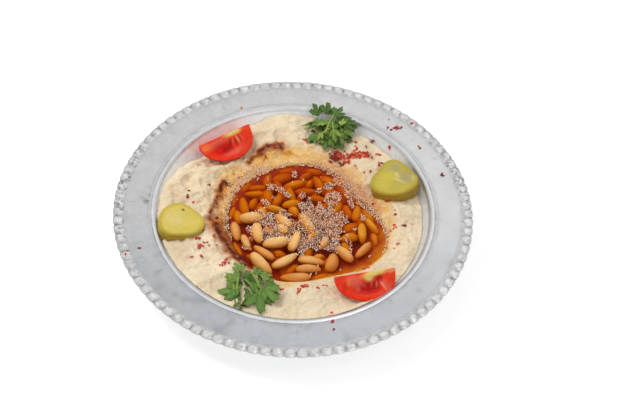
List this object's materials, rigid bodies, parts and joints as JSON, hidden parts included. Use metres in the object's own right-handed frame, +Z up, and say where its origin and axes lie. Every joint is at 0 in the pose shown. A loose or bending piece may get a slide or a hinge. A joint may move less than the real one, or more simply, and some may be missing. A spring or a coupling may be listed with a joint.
{
  "type": "plate of hummus",
  "caption": "Round beaded metal plate of hummus with a hollow of melted butter and pine nuts, garnished with tomato wedges, pickle slices, parsley and red pepper.",
  "frame": {"origin": "centre of the plate's foot, on the surface that it stands on", "axes": "+Z up, +Y away from the viewer, +X to the viewer's right"},
  "size_m": [0.22, 0.22, 0.0303],
  "materials": {
    "plate": "worn satin sheet metal, faintly mottled, with bright beads",
    "hummus": "moist cream-coloured paste, spread with a spoon",
    "butter": "clear red-brown melted butter with fine froth",
    "pine_nut": "fried golden nuts, wet with butter",
    "tomato": "wet cut flesh with a smooth red skin",
    "pickle": "translucent yellow-green flesh, olive skin",
    "parsley": "fresh chopped leaves and stems",
    "pepper_flake": "dry red pepper flakes"
  },
  "bodies": {
    "root": {"plate": "plate", "hummus": "hummus", "butter_pool": "butter", "pine_nuts": "pine_nut", "tomato_wedge_back": "tomato", "tomato_wedge_front": "tomato", "pickle_slice_right": "pickle", "pickle_slice_left": "pickle", "parsley_back": "parsley", "parsley_front": "parsley"}
  },
  "joints": []
}
